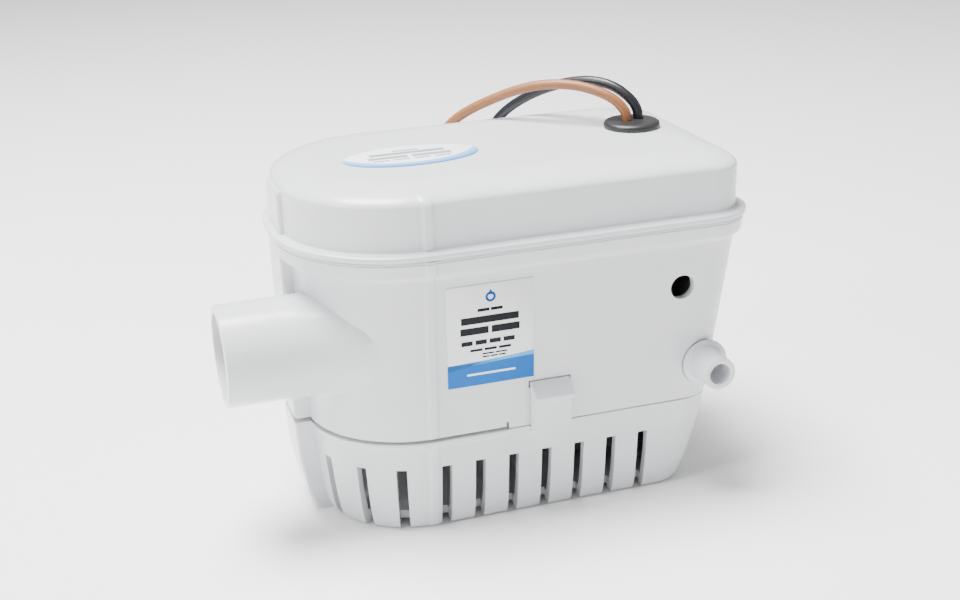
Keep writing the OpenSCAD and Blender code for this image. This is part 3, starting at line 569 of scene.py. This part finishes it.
def make_housing():
    rings = [wall_ring(29.15, 0.35), wall_ring(29.3, 0.08), wall_ring(29.7)]
    rings += [wall_ring(z, 0.0, 0.6) for z in (31, 40, 52, 64, 74, 77)]
    rim = [(77.9, 3.95, 2.1), (78.5, 3.55, 2.0), (78.85, 2.9, 1.8), (79.0, 2.2, 1.6), (79.15, 1.75,
                                                                                       1.45),
           (79.5, 1.5, 1.3), (80.2, 1.38, 1.2), (82.9, 1.0, 0.95), (83.1, 1.02, 1.0), (83.18, 1.25,
                                                                                       1.2),
           (83.32, 1.25, 1.2), (83.4, 0.95, 0.9), (83.7, 0.95, 0.9), (83.9, 1.1, 1.05), (84.0, 1.5,
                                                                                         1.45)]
    rings += [shell_ring(z, s, e, 12.6 - 0.3 * s, 0.6) for z, s, e in rim]
    pad = soft_pad([(30.4, -64.0), (30.9, -64.3), (60, -64.5), (82.6, -64.65), (83.4, -64.5)],
                   PAD_HALF_W)
    spout = [(13.6, 0.0), (14.0, 0.06), (14.22, 0.25), (14.3, 0.6), (14.3, 14), (14.3, 18), (14.4, 22),
             (14.6, 25),
             (14.95, 28), (15.5, 31), (16.2, 34), (17.2, 37), (17.2, 46)]
    spout = lathe([(r, -SPOUT_END - h) for r, h in spout], (0, SPOUT_Y, SPOUT_Z), "-X", 96)
    boss = lathe([(6.2, 27.7), (6.2, 34.5), (6.0, 34.75)], (KNOB[0], 0, KNOB[1]), "-Y")
    half = bmesh.new()
    loft([wall_ring(z, WALL) for z in (32, 79)], half)
    other = loft([wall_ring(z, WALL) for z in (28, 79)])
    for bm, x, keep in ((half, PART_X, False), (other, PART_X + WALL, True)):
        geometry = bm.verts[:] + bm.edges[:] + bm.faces[:]
        cut = bmesh.ops.bisect_plane(bm, geom=geometry, plane_co=(x, 0, 0), plane_no=(1, 0, 0),
                                     clear_outer=not keep, clear_inner=keep)
        edges = [e for e in cut["geom_cut"] if isinstance(e, bmesh.types.BMEdge)]
        bmesh.ops.edgeloop_fill(bm, edges=edges)
    pocket = loft([shell_ring(z, 5.4, 5.4, 10) for z in (82, 86)])
    groove = gasket_groove()
    notch = block((-100, -60, 28), (-8, 60, 29.9))
    nick = block((-8.9, -60, 29.5), (-8.1, 60, 31.4))
    bore = lathe([(12, 90), (12, 42), (11.4, 41.8)], (0, SPOUT_Y, SPOUT_Z), "-X", 96)
    vent = lathe([(3.6, 20), (3.6, 60)], (VENT[0], 0, VENT[1]), "-Y", 64)
    seat = lathe([(7.2, 34.55), (7.2, 60)], (KNOB[0], 0, KNOB[1]), "-Y")
    shaft = lathe([(3.05, 20), (3.05, 60)], (KNOB[0], 0, KNOB[1]), "-Y", 48)
    slots = bmesh.new()
    for side in (-1, 1):
        y = sorted((side * 33.7, side * 42))
        block((LATCH_X - 6.3, y[0], 41.0), (LATCH_X + 6.3, y[1], 43.2), slots)
    well = lathe([(16.6, 40), (16.6, 90)], (PUMP_X, 0, 0))
    mesh = finished(loft(rings), "housing", add=[pad, spout, boss],
                    cut=[half, other, pocket, groove, notch, nick, bore, vent, seat, shaft, slots,
                         well], bevel=0.28)
    shell = evened(as_object("housing_shell", mesh, WHITE, "housing", ["pump_housing"]))
    inner = bmesh.new()
    tube_wall([(16.6, 35), (16.6, 79.4), (18.6, 79.4), (18.6, 32), (5, 32), (5, 35)], (PUMP_X, 0, 0),
              bm=inner)
    tube_wall([(22, 18.2), (22, 32.4), (24, 32.4), (24, 18.2)], (PUMP_X, 0, 0), bm=inner)
    for side in (-1, 1):
        tube_wall([(1.25, 80), (1.25, 84.1), (3.4, 84.1), (3.4, 80)], (PUMP_X, side * 19, 0), steps=32,
                  bm=inner)
        y = side * 24.2
        block((PART_X - 0.5, y - 1.8, 30), (3, y + 1.8, 40), inner)
        tube_wall([(1.52, -1.8), (1.52, 1.8), (4.4, 1.8), (4.4, -1.8)], (4.8, y, 34), "-Y", 48, inner)
    for a in (0, 115, 245):
        c, s = math.cos(math.radians(a)), math.sin(math.radians(a))
        tube_wall([(1.1, 18.2), (1.1, 32.2), (2.6, 32.2), (2.6, 18.2)], (PUMP_X + 25.8 * c, 25.8 * s,
                                                                         0), steps=32,
                  bm=inner)
    ribs = as_object("housing_inner", to_mesh(inner), WHITE, "housing", ())
    ribs.data.set_sharp_from_angle(angle=math.radians(35))
    return shell


def gasket_groove():
    """The gasket's groove: the space between two outlines, as one closed ring."""
    rings = [shell_ring(z, i, i, r) for z, i, r in ((82.85, 2.5, 11.5), (86, 2.5, 11.5), (86, 4.7,
                                                                                          10.5), (82.85,
                                                                                                  4.7, 10.5))]
    return loft(rings, closed=True)


# ---- Strainer ----

FOOT = ((0, 11.6, 17.4), (0.25, 11.0, 16.7), (0.8, 10.55, 16.1), (2, 9.95, 15.55), (4, 9.4, 15.0), (6,
                                                                                                    9.0, 14.3),
        (8.5, 8.6, 13.5), (12, 8.15, 12.5), (16, 7.75, 11.5), (20, 7.35, 10.5), (24, 7.0, 9.7), (27.5,
                                                                                                 6.68, 9.1),
        (28.75, 6.55, 9.0), (28.95, 6.7, 9.15), (29, 6.9, 9.35))


def make_strainer():
    rings = [shell_ring(z, s, e, 11.5 - 0.12 * (29 - z) * 0.5, 0.0 if z > 28 else 0.5) for z, s,
             e in FOOT]
    lip = loft([shell_ring(z, s, 9, 11) for z, s in ((26.6, 6.75), (27.3, 6.2), (27.6, 6.05), (28.7,
                                                                                               6.02), (28.95, 6.2), (29, 6.4))])
    geometry = lip.verts[:] + lip.edges[:] + lip.faces[:]
    cut = bmesh.ops.bisect_plane(lip, geom=geometry, plane_co=(-8, 0, 0), plane_no=(1, 0, 0),
                                 clear_outer=True)
    bmesh.ops.edgeloop_fill(lip, edges=[e for e in cut["geom_cut"] if isinstance(e,
                                                                                 bmesh.types.BMEdge)])
    pad = soft_pad([(0, -59.3), (1.5, -60.2), (3, -61.0), (6, -61.8), (10, -62.5), (17, -63.8), (26,
                                                                                                 -64.2),
                    (28.8, -64.3), (29, -64.1)], PAD_HALF_W)
    inside = loft([shell_ring(4, 6.5 + 3.4 + WALL, 9 + 6.6 + WALL, 8), shell_ring(12, 6.5 + 1.7 + WALL,
                                                                                  9 + 4 + WALL, 8.5),
                   shell_ring(30, 6.4 + WALL, 9 + WALL, 9)])
    under = loft([shell_ring(z, 13.6, 19.2, 7) for z in (-1, 1.5)])
    slots = bmesh.new()
    for side in (-1, 1):
        for i in range(7):
            x = PUMP_X + 3.7 + 10 * i
            y = sorted((side * 26.6, side * 38.6))
            block((x - SLOT_W / 2, y[0], -1), (x + SLOT_W / 2, y[1], SLOT_H), slots)
        for a in (19, 43, 69):
            turn = Matrix.Translation((PUMP_X, side * PUMP_Y,
                                       0)) @ Matrix.Rotation(math.radians(side * (90 + a)), 4, "Z")
            one = block((21.4, -SLOT_W / 2, -1), (33.4, SLOT_W / 2, SLOT_H))
            one.transform(turn)
            rows = [[v.co.copy() for v in one.verts][k:k + 4] for k in (0, 4)]
            loft(rows, slots)
            one.free()
    places = [(x, y) for x in (-40, 40) for y in (-18, 18)]
    bosses = [lathe([(5, 0), (5, 3.6), (4.7, 3.95), (4.4, 4)], (x, y, 0), steps=48) for x, y in places]
    holes = bmesh.new()
    for x, y in places:
        lathe([(2.25, -1), (2.25, 9)], (x, y, 0), steps=48, bm=holes)
    for side in (-1, 1):
        y = sorted((side * 33.6, side * 35.8))
        block((LATCH_X - 5.85, y[0], 27.35), (LATCH_X + 5.85, y[1], 30), holes)
    mesh = finished(loft(rings), "strainer", add=[lip, pad], cut=[inside, under, slots], bevel=0.0)
    base = as_object("tool", mesh)
    bm = bmesh.new()
    bm.from_mesh(base.data)
    bmesh.ops.scale(bm, vec=(1000, 1000, 1000), verts=bm.verts)
    bpy.data.objects.remove(base)
    mesh = finished(bm, "strainer", add=bosses, cut=[holes], bevel=0.3)
    evened(as_object("strainer_shell", mesh, WHITE, "strainer", ["strainer_base"]))


def make_latch(side, body, node):
    foot = -wall_y(29)
    top = -wall_y(38.4) - 0.3
    profile = [(foot + 0.9, 27.4), (foot + 0.9, 28.85), (foot - 0.25, 28.95), (top, 38.4), (top - 0.05,
                                                                                            41.2),
               (top + 1.1, 41.2), (top + 1.1, 42.5), (top - 0.2, 43.0), (top - 4.8, 39.4), (top - 4.8,
                                                                                            38.3),
               (top - 2.3, 37.4), (foot - 2.8, 28.6), (foot + 0.2, 28.55), (foot + 0.2, 27.4)]
    outline = rounded(profile, 0.4, 3)
    bm = prism([(side * y, z) for y, z in outline], LATCH_X - 5.8, LATCH_X + 5.8)
    mesh = finished(bm, "latch", bevel=0.35, angle=50)
    evened(as_object(node + "_form", mesh, WHITE, body, [node]))


# ---- Test knob ----

def make_knob():
    at = (KNOB[0], 0, KNOB[1])
    tip = -KNOB_Y + 10.6
    profile = [(3, 24), (3, -KNOB_Y - 3), (3, -KNOB_Y), (6.3, -KNOB_Y), (6.65, 34.9), (6.8, 35.2), (6.8,
                                                                                                    35.85),
               (6.65, 36.1), (6.3, 36.2), (5.7, 36.25), (5.4, 36.4), (5.3, 36.8), (4.85,
                                                                                   tip - 0.7), (4.8,
                                                                                                tip - 0.3),
               (4.65, tip - 0.08), (4.4, tip), (3.45, tip), (3.2, tip - 0.15), (3.1, tip - 0.5), (3.05,
                                                                                                  tip - 6.6),
               (2.8, tip - 7), (0.4, tip - 7.1)]
    bm = lathe(profile, at, "-Y")
    mesh = finished(bm, "knob", bevel=0.0)
    evened(as_object("knob_form", mesh, WHITE, "knob", ["test_knob"]))
    a = math.radians(200)
    ends = [(0, 1.5), (11, 1.5), (12.2, 0.9), (12.5, 0), (12.2, -0.9), (11, -1.5), (0, -1.5)]
    spun = [(KNOB[0] + x * math.cos(a) - z * math.sin(a),
             KNOB[1] + x * math.sin(a) + z * math.cos(a)) for x, z in ends]
    finger = loft([[Vector((x, y, z)) for x, z in spun] for y in (-27, -24)])
    mesh = finished(finger, "finger", bevel=0.2)
    evened(as_object("knob_finger", mesh, WHITE, "knob", ()))


# ---- Labels ----

def make_labels():
    foot = 44.6
    lean = math.radians(2.75)
    x0 = PUMP_X + 4.4
    outline = rounded([(x0, 0), (x0 + 25, 0), (x0 + 25, 30), (x0, 30)], 0.15)
    rings = []
    for out, shrink in ((0.02, 0.0), (0.2, 0.0), (0.26, 0.06)):
        ring = []
        for x, h in outline:
            x = x0 + 12.5 + (x - x0 - 12.5) * (1 - shrink / 12.5)
            h = 15 + (h - 15) * (1 - shrink / 15)
            ring.append(Vector((x, -wall_y(foot) - out - h * math.sin(lean),
                                foot + h * math.cos(lean))))
        rings.append(ring)
    mesh = finished(loft(rings), "film", bevel=0.0)
    as_object("front_film", mesh, front_label_print(), "housing", ["front_label"])
    rings = []
    for z, shrink in ((0.02, 0.0), (0.16, 0.0), (0.22, 0.08)):
        rings.append([Vector((PUMP_X + 5.7 + (19.5 - shrink) * math.cos(math.tau * k / 120),
                              -3 + (10.5 - shrink) * math.sin(math.tau * k / 120), COVER_TOP + z)) for k in range(120)])
    mesh = finished(loft(rings), "film", bevel=0.0)
    as_object("top_film", mesh, top_label_print(), "housing", ["top_label"])


# ---- Leads ----

BROWN_ROUTE = [
    (43.3, 2, 104.6), (42.6, 2.4, 107.4), (40, 4.4, 110.6), (35.4, 8.4, 113), (29.5, 13.4, 114.2),
    (22.6, 19.4, 113.6), (16.2, 25, 111.3), (9.2, 31.2, 107.4), (3.4, 36.4, 103.2), (-0.8, 40.3, 98.6),
    (-3.8, 43.1, 93), (-5.6, 44.9, 86), (-6.4, 45.8, 78), (-6.8, 46.4, 68), (-6.9, 46.8, 56), (-6.7, 47,
                                                                                               44),
    (-6.2, 47.2, 33), (-5.2, 47.6, 24), (-3, 48.6, 16), (0, 50.2, 10), (4, 52, 6.2), (9, 53.4,
                                                                                      4.2), (14.5, 53.8,
                                                                                             3.4),
]
BLACK_ROUTE = [
    (47.3, 3, 104.6), (47, 3.3, 107.2), (45.4, 4.6, 110.2), (41.8, 8.4, 113.4), (37, 13.6, 114.6),
    (31.4, 20, 113.4), (25.6, 26.6, 110.4), (20.8, 32.2, 106.6), (17.2, 36.6, 102.6), (14.6, 39.8,
                                                                                       98.2),
    (12.6, 42.4, 92.4), (11.6, 44, 85), (11.2, 45, 77), (11, 45.8, 67), (11, 46.4, 56), (11.2, 46.8,
                                                                                         45),
    (11.6, 47.2, 36), (12.4, 47.8, 28), (14, 49, 21), (16.4, 50.6, 16), (19, 51.4, 12.8), (22, 51.6,
                                                                                           10.6),
    (25.5, 52.2, 9.4),
]
COIL_X, COIL_Y, COIL_MID_R = 20, 71, 16.4
BROWN_COIL_Z, BLACK_COIL_Z = 0.9, 7.4


def coil_points(route, floor_z, tip):
    """Turns wound outer to inner, then back out on the row above, and the short tail to the bared tip."""
    order = [COIL_MID_R + 3, COIL_MID_R, COIL_MID_R - 3, COIL_MID_R - 3, COIL_MID_R, COIL_MID_R + 3]
    start = math.atan2(route[-1][1] - COIL_Y, route[-1][0] - COIL_X)
    turns = 5 + (math.radians(90) - start) / math.tau
    steps = 36
    points = []
    for k in range(3, int(turns * steps) + 1):
        turn = k / steps
        whole = min(int(turn), 4)
        slide = max(0.0, min(1.0, (turn - whole - 0.8) / 0.2))
        slide = slide * slide * (3 - 2 * slide)
        r = order[whole] + (order[whole + 1] - order[whole]) * slide
        row = whole // 3
        z = floor_z + LEAD_R + 2.95 * (row + ((whole + 1) // 3 - row) * slide)
        a = start + math.tau * turn
        points.append((COIL_X + r * math.cos(a), COIL_Y + r * math.sin(a), z))
    return points + [(15.5, 90.8, (points[-1][2] + tip[2]) / 2), tip]


def smooth_line(points, per=6):
    out = []
    p = [Vector(q) for q in points]
    p = [p[0] * 2 - p[1]] + p + [p[-1] * 2 - p[-2]]
    for i in range(1, len(p) - 2):
        for k in range(per):
            t = k / per
            out.append(0.5 * ((2 * p[i]) + (p[i + 1] - p[i - 1]) * t
                              + (2 * p[i - 1] - 5 * p[i] + 4 * p[i + 1] - p[i + 2]) * t * t
                              + (3 * p[i] - p[i - 1] - 3 * p[i + 1] + p[i + 2]) * t ** 3))
    out.append(p[-2])
    return out


def wire(name, line, radius, finish, nodes):
    curve = bpy.data.curves.new(name, "CURVE")
    curve.dimensions = "3D"
    curve.bevel_depth = radius * MM
    curve.bevel_resolution = 5
    curve.use_fill_caps = True
    spline = curve.splines.new("POLY")
    spline.points.add(len(line) - 1)
    for point, place in zip(spline.points, line):
        point.co = (*(Vector(place) * MM), 1)
    spline.use_smooth = True
    made = bpy.data.objects.new(name, curve)
    bpy.context.scene.collection.objects.link(made)
    curve.materials.append(finish)
    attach(made, "housing")
    if nodes:
        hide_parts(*nodes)
    return made


def make_leads():
    for name, route, floor_z in (("brown", BROWN_ROUTE, BROWN_COIL_Z), ("black", BLACK_ROUTE,
                                                                        BLACK_COIL_Z)):
        low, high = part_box(name + "_tip")
        tip = (high.x / MM, (low.y + high.y) / 2 / MM, (low.z + high.z) / 2 / MM)
        line = smooth_line(route + coil_points(route, floor_z, tip), 3)
        finish = FINISHES[name + "_insulation"]
        lead = wire(name + "_wire", line, LEAD_R, finish, [name + "_lead", name + "_coil"])


make_leads()
make_cover()
make_grommet()
make_housing()
make_strainer()
make_latch(1, "front_catch", "front_latch")
make_latch(-1, "rear_catch", "rear_latch")
make_knob()
make_labels()

for entry in frame["record"]["subparts"]:
    carried = frame["nodes"][entry["node"]]
    if entry["material_slot"] in FINISHES:
        for k in range(len(carried.material_slots)):
            carried.material_slots[k].material = FINISHES[entry["material_slot"]]


# ---- Floor and light ----

def make_stage():
    bpy.ops.mesh.primitive_plane_add(size=8, location=(0, 0, 0))
    floor = bpy.context.object
    floor.name = "floor"
    paper = Finish("paper", (0.9, 0.9, 0.9), 0.7)
    paper.set("Base Color", paper.ramp(paper.noise(0.002), (0.4, (0.95, 0.95, 0.95)), (0.6, (0.96, 0.96,
                                                                                             0.96))))
    floor.data.materials.append(paper.data)
    world = bpy.data.worlds.new("studio")
    world.use_nodes = True
    world.node_tree.nodes["Background"].inputs[0].default_value = (1, 1, 1, 1)
    world.node_tree.nodes["Background"].inputs[1].default_value = 0.5
    bpy.context.scene.world = world
    for place, size, power in (((-0.2, 0.1, 1.0), 0.5, 40), ((-0.8, -0.25, 0.6), 0.2, 5), ((0.8, -0.3,
                                                                                            0.5), 0.4, 1)):
        data = bpy.data.lights.new("lamp", "AREA")
        data.size = size
        data.energy = power
        lamp = bpy.data.objects.new("lamp", data)
        bpy.context.scene.collection.objects.link(lamp)
        lamp.location = place
        lamp.rotation_mode = "QUATERNION"
        lamp.rotation_quaternion = (Vector((0, 0, 0.05)) - Vector(place)).to_track_quat("-Z", "Y")


make_stage()
